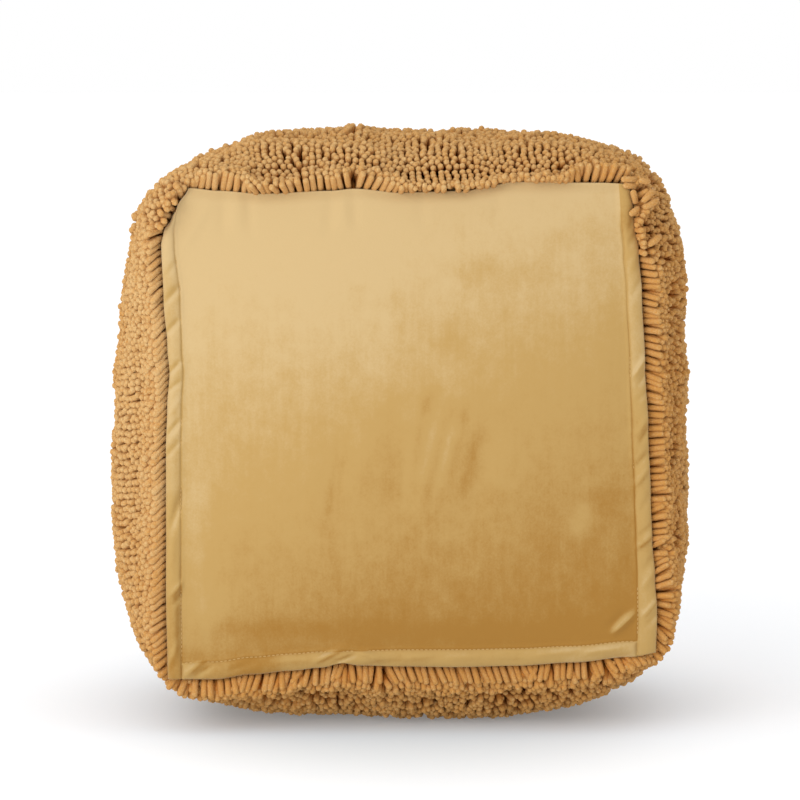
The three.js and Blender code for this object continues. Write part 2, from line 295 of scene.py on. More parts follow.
# How they settle against each other, over the cushion and the floor
MOST_NEAR = 34
APART = 0.88
SETTLE_STEPS = 45
PUSH = 0.32
SPRING = 0.1
OVER_CUSHION = 0.9
OVER_FLOOR = 1.1

# The base panel: the cloth, its dome over the filling and its turned, stitched hem
SEAM_Y = SECTION["y"][0]
CLOTH = 2.5
CLEARANCE = 0.6
DOME = {"high": 16, "power": 2.6, "x": 7, "z": 298, "half_width": 214, "half_height": 217}
TOP_ROLL = {"long": 10, "back": 3}
HEM_PUFF = 1.9
HEM_THICK = 4
EDGE_ROLL = 1.6
STITCH_PRESS = 1.3
STITCH_PRESS_WIDE = 1.0

# Outer edges of the base panel. at is the place along the side, edge the edge itself, hem the
# width of the turned hem, lift how far it stands off the cushion and pale how much lighter its colour
# is drawn.
LEFT_SIDE = columns(
    "at edge hem lift pale",
    (54, -218, 13.5, 0, 0.1),
    (130, -219, 14, 1, -0.2),
    (200, -218.5, 14, 0, 0),
    (268, -218, 14, 2, 0),
    (312, -216.5, 13.5, 0, 0.1),
    (343, -214, 13, 3, -0.5),
    (366, -216, 13.5, 0, -0.5),
    (411, -219, 15.5, 2.5, -0.9),
    (462, -221, 12.5, 0, -0.6),
    (474, -218.5, 9.5, 0, -0.2),
    (487, -211, 4, 0, 0),
    (496, -206.5, 1.5, 0, -0.3),
    (514, -196, 1.5, 0, 0),
)
RIGHT_SIDE = columns(
    "at edge hem lift pale",
    (79, 240, 18, 0, 2),
    (115, 240.7, 18, 2, 2.1),
    (152, 238.5, 16.5, 0, 1.6),
    (188, 235.4, 15, 2.5, 0.8),
    (224, 234, 15, 0, 0.8),
    (292, 231, 15, 2, -0.1),
    (351, 227.6, 14, 0, 0.7),
    (419, 224, 14, 2, 0.2),
    (454, 221, 14, 0, -0.8),
    (490, 216, 12.5, 0, -1.6),
    (521, 212, 10, 0, -1.6),
)
BOTTOM_SIDE = columns(
    "at edge hem lift pale",
    (-217, 54, 15, 0, 1.5),
    (-174, 54, 16.5, 1, 0.4),
    (-138, 58.5, 16.5, 0, -0.3),
    (-102, 62, 16, 0, 0.8),
    (-75, 65, 15, 1, 0.9),
    (-53, 70, 11, 5, 1.4),
    (-38, 67, 14, 1, 1.5),
    (0, 66, 16, 0, 1.1),
    (53, 65.6, 16.5, 1, 1.6),
    (108, 66.6, 16.5, 0, 1.6),
    (161, 70, 15.5, 1, 2.2),
    (216, 75, 15, 0, 2.4),
    (240, 79, 14, 0, 2.2),
)
TOP_SIDE = columns(
    "at edge",
    (-194, 514),
    (-168, 511.6),
    (-127, 509),
    (-65, 511.6),
    (-42, 513.5),
    (0, 510),
    (62, 511.6),
    (76, 514.4),
    (106, 520),
    (186, 519),
    (212, 518),
)

# Soft creases of the hems, as ridges and, where high is below 0, troughs. x and z are the middle,
# turn the direction in degrees from the right upwards, long and wide the half sizes.
HEM_CREASES = columns(
    "x z turn long wide high",
    (-210.6, 441, 56, 9, 2.6, -0.9),
    (-210.6, 416, 48, 10, 3.0, -2.2),
    (-210.6, 386, 47, 9, 2.6, -2.2),
    (-209, 348, 45, 8, 2.4, -2.2),
    (-209, 331, 36, 8, 2.2, -1.4),
    (-210, 310, 55, 9, 3.0, 0.9),
    (-209.8, 292, 51, 9, 2.6, -2.2),
    (-211, 272, 50, 10, 2.8, -1.6),
    (-208.5, 214, 72, 20, 3.6, -2.6),
    (-213, 176, 84, 16, 3.0, 0.9),
    (-209, 140, 46, 9, 2.6, 2.2),
    (-207, 131, 50, 8, 2.4, -1.6),
    (-206.5, 105, 90, 27, 2.4, -2.0),
    (-213, 76, 70, 14, 3.0, 1.2),
    (215, 488, 80, 14, 2.4, -1.4),
    (217, 470, 60, 12, 3.0, -1.4),
    (219, 452, 66, 14, 3.2, 1.2),
    (221, 425, 60, 12, 3.0, -1.0),
    (223, 349, 57, 11, 2.6, 2.4),
    (227, 340, 58, 10, 2.4, -1.6),
    (226, 322, 45, 9, 2.4, -0.9),
    (227, 296, 56, 12, 2.8, 1.2),
    (229, 286, 56, 10, 2.6, -1.8),
    (226, 262, 50, 10, 2.8, -1.8),
    (226, 247, 54, 12, 2.8, 2.0),
    (230, 222, 62, 12, 3.0, -1.0),
    (231, 196, 40, 9, 2.4, -1.4),
    (228, 185, 38, 9, 2.2, 2.4),
    (234, 166, 56, 12, 3.0, -1.2),
    (233, 150, 56, 12, 2.8, 1.2),
    (234, 122, 48, 11, 2.4, 2.2),
    (237, 112, 50, 10, 2.4, -1.4),
    (-190, 68, 40, 14, 2.8, 2.4),
    (-184, 62, 30, 10, 2.4, -1.4),
    (-150, 66, 20, 14, 3.0, -1.0),
    (-100, 72, 4, 18, 2.6, 0.9),
    (-66, 78, 26, 14, 2.6, 3.0),
    (-52, 74, 20, 11, 2.2, -2.4),
    (-30, 78, -22, 13, 2.6, 2.0),
    (-16, 69, 6, 18, 3.0, -1.2),
    (18, 76, 4, 14, 3.0, 1.3),
    (60, 76, 2, 14, 3.0, 1.3),
    (100, 71, 0, 16, 2.6, -0.8),
    (148, 80, 5, 20, 2.8, 1.6),
    (190, 82, 8, 18, 2.6, 1.6),
    (205, 76, 10, 14, 2.4, -1.0),
)

# Creases of the stretched cloth. The columns are those of the hems' creases.
CREASES = columns(
    "x z turn long wide high",
    (209.5, 107.5, 43, 14, 3, 3.4),
    (203, 111, 44, 12, 2.4, -1.2),
    (-163, 494, 88, 22, 5.5, -1.0),
    (-150, 496, 90, 18, 6.0, 0.9),
    (-139, 492, 94, 20, 5.0, -0.9),
    (-65, 492, 88, 20, 5.5, -1.0),
    (-52, 496, 90, 16, 5.0, 0.8),
    (-42, 494, 94, 18, 5.0, -0.9),
    (20, 495, 92, 16, 6.0, -0.6),
    (90, 500, 88, 18, 7.0, -0.6),
    (-188, 480, 60, 24, 5.0, 1.0),
    (-60, 260, 84, 60, 14, -0.5),
    (20, 250, 96, 70, 16, 0.5),
    (70, 230, 80, 60, 14, -0.5),
)
CREASE_SHARE = 1.1
# Painted light and shade on the creases, from the slope of each towards the upper left
CREASE_PAINTED_LIGHT = 0.9

# Places where the nap was stroked, deep or, below 0, pale. The columns are those of the creases.
BRUSHED = columns(
    "x z turn long wide deep",
    (-14, 272, 88, 46, 20, 0.5),
    (0, 318, 30, 24, 9, 0.25),
    (-63, 243, 82, 40, 3.5, 0.5),
    (-52, 266, 82, 28, 3, 0.45),
    (19, 294, 76, 38, 6, 0.6),
    (26, 318, 60, 15, 9, 0.45),
    (47, 304, 76, 15, 8, 0.5),
    (61, 309, 76, 11, 6, 0.5),
    (33, 262, 76, 45, 5, 0.45),
    (51, 264, 76, 45, 6, 0.6),
    (66, 262, 74, 36, 7, 0.8),
    (8, 256, 84, 36, 4, -0.5),
    (26, 272, 76, 30, 3.5, -0.5),
    (42, 268, 76, 34, 3, -0.5),
    (93, 262, 80, 30, 14, -0.35),
    (70, 439, 40, 18, 14, 0.5),
    (47, 378, 70, 20, 12, 0.45),
    (-39, 416, 80, 12, 10, 0.35),
    (-8, 411, 10, 16, 9, 0.3),
    (116, 437, 10, 24, 11, 0.35),
    (149, 467, 30, 26, 13, 0.3),
    (194, 224, 30, 20, 15, 0.4),
    (170, 205, 60, 18, 12, -0.6),
    (-190, 190, 90, 70, 14, -0.6),
    (-184, 110, 70, 34, 22, -0.6),
    # The next two rows deepen the colour in a band along the bottom, above the hem
    (-60, 103, 0, 150, 9, 0.35),
    (110, 100, 3, 110, 9, 0.3),
    # The last two rows are a painted highlight on the ridge of the lower right crease and painted
    # shade beside it
    (209, 108, 43, 14, 3.2, -1.7),
    (214, 102, 45, 10, 2.4, 0.8),
)
# Painted shade along the stitching, deeper beside the side hems than along the bottom one
STITCH_DEEPER = 0.9
LOW_STITCH_DEEPER = 0.2

# Fineness of the panel's mesh, in cells, and the first steps beside its stitching
HEM_STEPS = (0, 0.1, 0.24, 0.4, 0.56, 0.71, 0.83, 0.91, 0.96)
INNER_CELLS = 140
BESIDE_STITCH = (0, 0.6, 1.3, 2.6)
PANEL_ACROSS = 440

# The stitching
STITCH_LONG = 3.0
STITCH_GAP = 1.1
STITCH_WIDE = 0.4
SUNK = 0.4
SUNK_BELOW = -0.35
SHOWN_ON_RIGHT = ((338, 360), (98, 142))

# The camera, level with the panel at 3 m and looking down a little
CAMERA = {"aim_y": -176, "aim_z": 317.5, "away": 3000, "down": 6, "lens": 145.2, "sensor": 36}

# The light and the floor, in metres: one broad lamp before the pouf, in an even white room
KEY_LAMP = {"place": (-1.45, -2.1, 1.0), "aim": (0, 0, 0.3), "size": 2.2, "power": 38}
FLOOR_REACH = 60

# The frame has the middle of the whole pouf at x = y = 0, and the drawing has not: the panel's
# own box gives the shift
panel_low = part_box("base_panel")[0]
DRAWN_LEFT = LEFT_SIDE["edge"].min()
DRAWN_FRONT = SEAM_Y - CLEARANCE - DOME["high"] - CLOTH
SHIFT = np.array([panel_low[0] / MM - DRAWN_LEFT, panel_low[1] / MM - DRAWN_FRONT, 0])


def smooth(share):
    share = np.clip(share, 0, 1)
    return share * share * (3 - 2 * share)


def past(steps, at):
    """0 up to steps["from"], rising softly to 1 over the width steps["over"]."""
    return smooth((at - steps["from"]) / steps["over"])


def unit(vectors):
    return vectors / np.maximum(np.linalg.norm(vectors, axis=-1, keepdims=True), 1e-9)


def read(table, at, column, key="at"):
    """A column of a table at places between its rows."""
    at = np.asarray(at, float)
    i = np.clip(np.searchsorted(table[key], at) - 1, 0, len(table[key]) - 2)
    before, after = table[key][i], table[key][i + 1]
    start, end = table[column][i], table[column][i + 1]
    return start + (end - start) * smooth((at - before) / (after - before))


def to_frame(points):
    return (np.asarray(points, float) + SHIFT) * MM


# The form of the cushion


def spline(values, t):
    """A smooth curve through evenly spaced values, at t from 0 to 1."""
    last = len(values) - 1
    i = np.minimum(np.floor(t * last).astype(int), last - 1)
    w = t * last - i
    a, b, c, d = (values[np.clip(i + k, 0, last)] for k in (-1, 0, 1, 2))
    rise_b = (c - a) / 2
    rise_c = (d - b) / 2
    cubic = 2 * b - 2 * c + rise_b + rise_c
    square = -3 * b + 3 * c - 2 * rise_b - rise_c
    return ((cubic * w + square) * w + rise_b) * w + b


section_steps = np.linspace(0, 1, 1201)
section_line = {name: spline(values, section_steps) for name, values in SECTION.items()}
section_moves = np.hypot(np.diff(section_line["reach"]) * HALF_WIDTH, np.diff(section_line["y"]))
section_along = np.concatenate([[0], np.cumsum(section_moves)])
section_along *= SECTION_LENGTH / section_along[-1]


def envelope(angle, out):
    """Points over the fingertips. angle runs round the cushion, out is the distance from the seam."""
    angle, out = np.broadcast_arrays(np.asarray(angle, float), np.asarray(out, float))
    row = {name: np.interp(out, section_along, line) for name, line in section_line.items()}
    c, s = np.cos(angle), np.sin(angle)
    power = row["square"]
    square = (np.abs(c) / HALF_WIDTH) ** power + (np.abs(s) / HALF_HEIGHT) ** power
    full = read(FULLNESS, np.degrees(angle) % 360, "full") - 1
    full = full * (1 - row["rise"] / SECTION["rise"][0]) * row["reach"] ** 4
    wider = read(WIDER, np.degrees(angle) % 360, "seam") * (1 - smooth(out / WIDER_UP_TO))
    radius = square ** (-1 / power) * row["reach"] * (1 + full) + wider
    x = row["shift"] + radius * c
    z = MIDDLE_Z + row["rise"] + radius * s
    return np.stack([x, row["y"], z], -1)


def facing(angle, out):
    """Which way the cushion faces there."""
    near = np.clip(out, 1, SECTION_LENGTH - 3)
    step = 0.01
    around = envelope(angle + step, near) - envelope(angle - step, near)
    along = envelope(angle, near + 1) - envelope(angle, near - 1)
    return unit(np.cross(along, around))


def clump(points):
    high = np.zeros(points.shape[:-1])
    for wave in CLUMPS:
        turn = 2 * math.pi / wave["long"]
        along = points @ np.array(wave["along"]) * turn + wave["start"]
        over = points @ np.array(wave["over"]) * turn + wave["start"]
        high += wave["high"] * np.sin(along) * np.cos(over)
    return high


def backing(angle, out):
    """Points on the cloth that the fingers are rooted in."""
    angle, out = np.broadcast_arrays(np.asarray(angle, float), np.asarray(out, float))
    points = envelope(angle, out)
    rough = np.clip((out - CHANNEL_START) / PILE_FROM, 0, 1) * smooth(points[..., 2] / PRESSED_Z)
    on_top = smooth(np.sin(angle) * 2.2 - 0.9)
    channel = CHANNEL_DEEP + (CHANNEL_DEEP_ON_TOP - CHANNEL_DEEP) * on_top
    deep = channel * smooth(out / CHANNEL_START)
    deep = deep + (PILE - channel) * smooth((out - CHANNEL_START) / (PILE_FROM - CHANNEL_START))
    points = points + facing(angle, out) * (clump(points) * rough - deep)[..., None]
    points[..., 2] = np.maximum(points[..., 2], LEAST_PILE)
    return points


# The form of the base panel


def dome(x, z):
    across = np.minimum(np.abs(x - DOME["x"]) / DOME["half_width"], 1) ** DOME["power"]
    up = np.minimum(np.abs(z - DOME["z"]) / DOME["half_height"], 1) ** DOME["power"]
    return DOME["high"] * (1 - across) * (1 - up)


def strokes(table, column, x, z):
    """The sum of a table's long soft marks at x and z."""
    total = np.zeros(np.shape(x))
    for i in range(len(table["x"])):
        row = {name: values[i] for name, values in table.items()}
        c, s = math.cos(math.radians(row["turn"])), math.sin(math.radians(row["turn"]))
        along = (x - row["x"]) * c + (z - row["z"]) * s
        across = (z - row["z"]) * c - (x - row["x"]) * s
        total += row[column] * np.exp(-((along / row["long"]) ** 4) - (across / row["wide"]) ** 2)
    return total


def hem_swell(share):
    """Height of a hem between its outer edge, 0, and its stitching, 1."""
    puff = HEM_PUFF * np.sin(math.pi * np.clip(share, 0, 1)) ** 0.8
    return puff - EDGE_ROLL * (1 - np.clip(share, 0, 1)) ** 5


def panel_back(x, z):
    """Depth of the panel's rear face."""
    left = read(LEFT_SIDE, z, "lift") * np.clip(1 - (x - read(LEFT_SIDE, z, "edge")) / 20, 0, 1)
    right = read(RIGHT_SIDE, z, "lift") * np.clip(1 - (read(RIGHT_SIDE, z, "edge") - x) / 20, 0, 1)
    low = read(BOTTOM_SIDE, x, "lift") * np.clip(1 - (z - read(BOTTOM_SIDE, x, "edge")) / 20, 0, 1)
    rolled = smooth(1 - (read(TOP_SIDE, x, "edge") - z) / TOP_ROLL["long"]) * TOP_ROLL["back"]
    return SEAM_Y - CLEARANCE - dome(x, z) - left - right - low + rolled


def over_panel(x, z, margin):
    """True where a point is behind or before the panel, or nearer to its edge than margin."""
    across = (x > read(LEFT_SIDE, z, "edge") - margin) & (x < read(RIGHT_SIDE, z, "edge") + margin)
    up = (z > read(BOTTOM_SIDE, x, "edge") - margin) & (z < read(TOP_SIDE, x, "edge") + margin)
    return across & up


lap = np.linspace(0, 2 * math.pi, 1441)


def first_row():
    """Distance from the seam, round the lap, of the first row of fingers beside the panel's edge."""
    out = np.arange(2, 70, 0.5)
    points = envelope(lap[:, None], out)
    tucked = read(LEANS, np.degrees(lap), "tucked")[:, None]
    behind = over_panel(points[..., 0], points[..., 2], -tucked)
    return out[np.argmin(behind, axis=1)]


first_out = first_row()


# Finishes


class Value:
    """A number in a material's node tree. Its operators add Math nodes."""

    def __init__(self, finish, socket):
        self.finish = finish
        self.socket = socket

    def maths(self, operation, first, second):
        made = self.finish.node("ShaderNodeMath", {"operation": operation}, {0: first, 1: second})
        return Value(self.finish, made.outputs[0])

    def __add__(self, other):
        return self.maths("ADD", self, other)

    def __radd__(self, other):
        return self.maths("ADD", other, self)

    def __sub__(self, other):
        return self.maths("SUBTRACT", self, other)

    def __rsub__(self, other):
        return self.maths("SUBTRACT", other, self)

    def __mul__(self, other):
        return self.maths("MULTIPLY", self, other)

    def __rmul__(self, other):
        return self.maths("MULTIPLY", other, self)

    def __pow__(self, other):
        return self.maths("POWER", self, other)


class Finish:
    """A material in the making."""

    def __init__(self, name):
        self.material = bpy.data.materials.new(name)
        self.material.use_nodes = True
        self.tree = self.material.node_tree
        self.tree.nodes.clear()

    def node(self, kind, settings=None, values=None):
        """A node of that type, with its settings and then the values or links of its sockets."""
        made = self.tree.nodes.new(kind)
        for name, setting in (settings or {}).items():
            if name == "stops":
                self.set_stops(made.color_ramp, setting)
            else:
                setattr(made, name, setting)
        for name, value in (values or {}).items():
            socket = made.inputs[name]
            if isinstance(value, Value):
                value = value.socket
            if isinstance(value, bpy.types.NodeSocket):
                self.tree.links.new(value, socket)
            else:
                socket.default_value = value
        return made

    @staticmethod
    def set_stops(ramp, stops):
        while len(ramp.elements) < len(stops):
            ramp.elements.new(1)
        for element, (place, colour) in zip(ramp.elements, stops):
            element.position = place
            element.color = (*colour, 1)

    def number(self, kind, settings=None, values=None, output=0):
        return Value(self, self.node(kind, settings, values).outputs[output])

    def place(self, scale=(1, 1, 1)):
        """The piece's own coordinates, in metres, stretched by scale."""
        coordinates = self.node("ShaderNodeTexCoord").outputs["Object"]
        return self.node("ShaderNodeMapping", {}, {"Vector": coordinates, "Scale": scale}).outputs[0]

    def noise(self, scale, detail=2.0, stretch=(1, 1, 1), roughness=0.5):
        """Soft random clouds about 1 / scale metres wide, from 0 to 1."""
        values = {"Vector": self.place(stretch), "Scale": scale}
        values.update({"Detail": detail, "Roughness": roughness})
        return self.number("ShaderNodeTexNoise", {}, values)

    def axis(self, name):
        """One of the piece's own coordinates, in metres."""
        return self.number("ShaderNodeSeparateXYZ", {}, {"Vector": self.place()}, name)

    def attribute(self, name):
        return self.number("ShaderNodeAttribute", {"attribute_name": name}, output="Fac")

    def mix(self, share, first, second):
        """Colours mixed from first, at 0, to second, at 1."""
        values = {0: share, 6: first, 7: second}
        return self.node("ShaderNodeMix", {"data_type": "RGBA"}, values).outputs[2]

    def between(self, value, low, high):
        """0 where value is low and 1 where it is high."""
        settings = {"interpolation_type": "SMOOTHSTEP"}
        values = {"Value": value, "From Min": low, "From Max": high}
        return self.number("ShaderNodeMapRange", settings, values)

    def cloth(self, colour, roughness, height, bump, sheen):
        """The finished material. bump is its depth in metres and its share, and sheen the weight, the
        roughness and the tint."""
        values = {"Strength": bump[1], "Distance": bump[0], "Height": height}
        bumped = self.node("ShaderNodeBump", {}, values)
        shader = self.node(
            "ShaderNodeBsdfPrincipled",
            {},
            {
                "Base Color": colour,
                "Roughness": roughness,
                "Specular IOR Level": 0.1,
                "Sheen Weight": sheen[0],
                "Sheen Roughness": sheen[1],
                "Sheen Tint": (*sheen[2], 1),
                "Normal": bumped.outputs[0],
            },
        )
        self.node("ShaderNodeOutputMaterial", {}, {"Surface": shader.outputs[0]})
        return self.material


def chenille_finish():
    finish = Finish("chenille")
    # The roots are drawn deep and red: painted shade between the fingers
    deep = (0.520, 0.170, 0.017, 1)
    # Lighter colour stands for wear and, on the lit upper left, painted light; deeper for the dye and,
    # on the right and bottom, painted shade
    dyed_and_shaded = (0.518, 0.256, 0.067, 1)
    worn_and_lit = (0.600, 0.402, 0.184, 1)
    height = finish.attribute("height")
    tint = finish.attribute("tint")
    fuzz = finish.between(finish.noise(640, 4, roughness=0.65), 0.35, 0.65)
    patches = finish.noise(14, 2)
    share = tint * 0.3 + patches * 0.2 + fuzz * 0.7 - 0.2
    dry = finish.mix(share, dyed_and_shaded, worn_and_lit)
    colour = finish.mix(finish.between(height, 0.3, 0.95), deep, dry)
    roughness = 0.86 + fuzz * 0.1
    return finish.cloth(colour, roughness, fuzz, (0.0005, 0.7), (0.4, 0.5, (0.9, 0.45, 0.15)))


def backing_finish():
    finish = Finish("chenille_ground")
    weave = finish.noise(420, 2)
    colour = finish.mix(weave, (0.42, 0.16, 0.028, 1), (0.54, 0.23, 0.045, 1))
    roughness = 0.92 + weave * 0.05
    return finish.cloth(colour, roughness, weave, (0.0008, 0.7), (0.1, 0.6, (1.0, 0.8, 0.5)))


def velvet_finish():
    """Velvet drawn pale at the top left and deep below: partly the way its nap lies and is stroked,
    partly a painted highlight at the top left and painted shade lower down.
    """
    finish = Finish("velvet")
    pale = (0.493, 0.349, 0.167, 1)
    middle = (0.412, 0.257, 0.084, 1)
    deep = (0.314, 0.155, 0.029, 1)
    clouds = finish.noise(7, 3, (1, 1, 0.7))
    mottle = finish.noise(75, 4, (1, 1, 0.8), 0.7)
    streaks = finish.noise(45, 2, (1, 1, 0.16))
    cloth = finish.noise(520, 3)
    pile = finish.noise(2400, 1)
    # Painted light: lighter towards the top left, deeper towards the bottom
    place = finish.axis("Z") - finish.axis("X") * 0.35
    threads = finish.noise(260, 2, (1, 1, 0.05))
    uneven = clouds * 0.14 + mottle * 0.17 + streaks * 0.06 + threads * 0.05 + cloth * 0.08 - 0.25
    nap_and_painted_light = place + uneven - finish.attribute("brushed") * 0.13
    colour = finish.mix(finish.between(nap_and_painted_light, 0.27, 0.47), middle, pale)
    colour = finish.mix(finish.between(nap_and_painted_light, 0.05, 0.27), deep, colour)
    roughness = 0.62 + clouds * 0.12 + pile * 0.06
    height = cloth * 0.6 + pile * 0.4
    return finish.cloth(colour, roughness, height, (0.00025, 0.5), (0.5, 0.4, (1.0, 0.92, 0.76)))


def thread_finish():
    finish = Finish("thread")
    twist = finish.noise(1800, 1)
    colour = finish.mix(twist, (0.47, 0.29, 0.10, 1), (0.58, 0.39, 0.16, 1))
    roughness = 0.6 + twist * 0.1
    return finish.cloth(colour, roughness, twist, (0.0002, 0.4), (0.1, 0.5, (1.0, 0.95, 0.85)))


def floor_finish():
    """A white floor that glows a little, with a painted shadow round the pouf: grey close to it and
    whiter further off.
    """
    finish = Finish("pale_floor")
    # Painted shadow: grey close to the pouf, fading out over about half a metre
    shaded = (0.59, 0.66, 0.72, 1)
    near = (0.82, 0.84, 0.865, 1)
    open_floor = (0.88, 0.88, 0.88, 1)
    across = finish.axis("X") * 1.3
    along = finish.axis("Y")
    far = (across * across + along * along) ** 0.5
    colour = finish.mix(finish.between(far, 0.12, 0.5), shaded, near)
    colour = finish.mix(finish.between(far, 0.5, 1.3), colour, open_floor)
    values = {"Base Color": colour, "Roughness": 0.9}
    values.update({"Emission Color": (1, 1, 1, 1), "Emission Strength": 0.17})
    shader = finish.node("ShaderNodeBsdfPrincipled", {}, values)
    finish.node("ShaderNodeOutputMaterial", {}, {"Surface": shader.outputs[0]})
    return finish.material


# Pieces


def put_in_scene(name, mesh, material, slot=None):
    mesh.materials.append(material)
    mesh.shade_smooth()
    piece = bpy.data.objects.new(name, mesh)
    bpy.context.scene.collection.objects.link(piece)
    if slot:
        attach(piece, "root")
    return piece


def mesh_from(bm, name):
    bmesh.ops.recalc_face_normals(bm, faces=bm.faces)
    mesh = bpy.data.meshes.new(name)
    bm.to_mesh(mesh)
    bm.free()
    return mesh


def corners_of(mesh):
    places = np.empty(len(mesh.vertices) * 3)
    mesh.vertices.foreach_get("co", places)
    return places.reshape(-1, 3)


def move_corners(mesh, points):
    mesh.vertices.foreach_set("co", to_frame(points).ravel())
    mesh.update()


def face_outwards(mesh):
    bm = bmesh.new()
    bm.from_mesh(mesh)
    bmesh.ops.recalc_face_normals(bm, faces=bm.faces)
    bm.to_mesh(mesh)
    bm.free()


def make_cushion(material):
    """The filled cushion below the fingers: a ball whose rings become its crown, sides and base."""
    bm = bmesh.new()
    bmesh.ops.create_uvsphere(bm, u_segments=BACKING_AROUND, v_segments=BACKING_RINGS, radius=1)
    mesh = mesh_from(bm, "cushion")
    ball = corners_of(mesh)
    share = np.arccos(np.clip(ball[:, 2], -1, 1)) / math.pi
    angle = np.arctan2(ball[:, 1], ball[:, 0])
    covered = 0.82
    out = SECTION_LENGTH * (1 - np.clip(share / covered, 0, 1))
    points = backing(angle, out)
    inward = np.clip((share - covered) / (1 - covered), 0, 1)[:, None]
    rim = backing(angle, 0)
    middle = np.array([SECTION["shift"][0], 0, MIDDLE_Z + SECTION["rise"][0]])
    base = rim + (middle - rim) * inward
    base[:, 1] = SEAM_Y - dome(base[:, 0], base[:, 2])
    points = np.where(inward > 0, base, points)
    move_corners(mesh, points)
    face_outwards(mesh)
    return put_in_scene("cushion", mesh, material, "chenille")


def side_rows():
    """Places of the fingers on the four sides: rows beside the seam, with straight columns."""
    angles, outs = [], []
    corner = math.atan2(HALF_HEIGHT, HALF_WIDTH)
    sides = [(-corner, corner), (corner, math.pi - corner)]
    sides += [(math.pi - corner, math.pi + corner), (math.pi + corner, 2 * math.pi - corner)]
    rows = round((CROWN_FROM - first_out.mean()) / ROW_PITCH)
    for row in range(rows):
        share = row / rows
        share *= 1 - FIRST_ROWS_CLOSER * (1 - share)
        out = first_out + (CROWN_FROM - first_out) * share
        points = backing(lap, out)
        along = np.concatenate([[0], np.cumsum(np.linalg.norm(np.diff(points, axis=0), axis=1))])
        whole = along[-1]
        places = []
        for start, end in sides:
            at_start = np.interp(start % (2 * math.pi), lap, along)
            at_middle = np.interp(((start + end) / 2) % (2 * math.pi), lap, along)
            half = (at_middle - at_start) % whole
            count = int(half // PITCH)
            places += [(at_middle + k * PITCH) % whole for k in range(-count, count + 1)]
        places.sort()
        kept = []
        for place in places:
            gap = place - kept[-1] if kept else whole
            if gap < CROWDED * PITCH:
                continue
            if kept and gap > CORNER_GAP * PITCH:
                kept.append(place - gap / 2)
            kept.append(place)
        angles.append(np.interp(kept, along, lap))
        outs.append(np.interp(kept, along, out))
    return np.concatenate(angles), np.concatenate(outs)


def crown_grid():
    """Places of the fingers on the crown: a straight grid of its own cloth."""
    flat = SECTION_LENGTH - CROWN_FROM
    count = int(flat / PITCH) + 2
    steps = np.arange(-count, count + 1)
    across, up = np.meshgrid(steps * PITCH, steps * CROWN_ROW_PITCH)
    across, up = across.ravel(), up.ravel()
    power = 3.1
    radius = ((np.abs(across) / flat) ** power + (np.abs(up) / flat) ** power) ** (1 / power)
    out = SECTION_LENGTH - radius * flat
    inside = out > CROWN_FROM + 0.35 * PITCH
    return np.arctan2(up, across)[inside], out[inside]


def neighbours(points):
    """Numbers of the points near each point, with the point's own number as filling."""
    tree = KDTree(len(points))
    for i, point in enumerate(points):
        tree.insert(point, i)
    tree.balance()
    table = np.repeat(np.arange(len(points))[:, None], MOST_NEAR, axis=1)
    for i, point in enumerate(points):
        found = [number for _, number, _ in tree.find_n(point, MOST_NEAR + 1) if number != i]
        table[i, : len(found)] = found
    return table


def lean_of(roots, random):
    """The direction in which each finger's clump leans, with clear partings between clumps."""
    clumps = int(len(roots) * PITCH * ROW_PITCH / CLUMP_AREA)
    middles = roots[random.choice(len(roots), clumps, replace=False)]
    ways = unit(random.normal(size=(clumps, 3))) * random.uniform(*CLUMP_LEAN, (clumps, 1))
    lean = np.zeros_like(roots)
    for start in range(0, len(roots), 2000):
        part = roots[start : start + 2000]
        far = np.linalg.norm(part[:, None] - middles[None], axis=2)
        weight = np.exp(-((far - far.min(axis=1, keepdims=True)) / CLUMP_BLUR) * 2)
        lean[start : start + 2000] = weight @ ways / weight.sum(axis=1, keepdims=True)
    return lean


def hold_back(points, roots, normals, radii):
    """Keeps points over the backing and the floor, and behind the base panel."""
    high = ((points - roots) * normals).sum(axis=1)
    points = points + normals * np.maximum(radii * OVER_CUSHION - high, 0)[:, None]
    covered = over_panel(points[:, 0], points[:, 2], FINGER_RADIUS * 0.5)
    least = panel_back(points[:, 0], points[:, 2]) + radii
    points[:, 1] = np.where(covered, np.maximum(points[:, 1], least), points[:, 1])
    points[:, 2] = np.maximum(points[:, 2], radii * OVER_FLOOR)
    return points


def settle(roots, normals, wish_low, wish_high, half_long, radii):
    """Bends the fingers until neighbours only touch."""
    table = neighbours(roots)
    others = (table != np.arange(len(roots))[:, None])[..., None]
    least = APART * (radii[:, None] + radii[table])[..., None]
    mids = roots + wish_low * half_long
    tips = mids + wish_high * half_long
    for _ in range(SETTLE_STEPS):
        pushes = []
        for own in (mids, tips):
            push = np.zeros_like(own)
            for other in (mids, tips):
                gap = own[:, None] - other[table]
                far = np.linalg.norm(gap, axis=2, keepdims=True)
                over = np.clip(least - far, 0, None) * others
                push += (gap / np.maximum(far, 0.01) * over).sum(axis=1) * PUSH
            pushes.append(push)
        mids = mids + pushes[0] + SPRING * (roots + wish_low * half_long - mids)
        tips = tips + pushes[1] + SPRING * (mids + wish_high * half_long - tips)
        mids = hold_back(mids, roots, normals, radii)
        mids = roots + unit(mids - roots) * half_long
        tips = hold_back(tips, roots, normals, radii)
        tips = mids + unit(tips - mids) * half_long
    tips = hold_back(tips, roots, normals, radii)
    return hold_back(mids, roots, normals, radii), tips


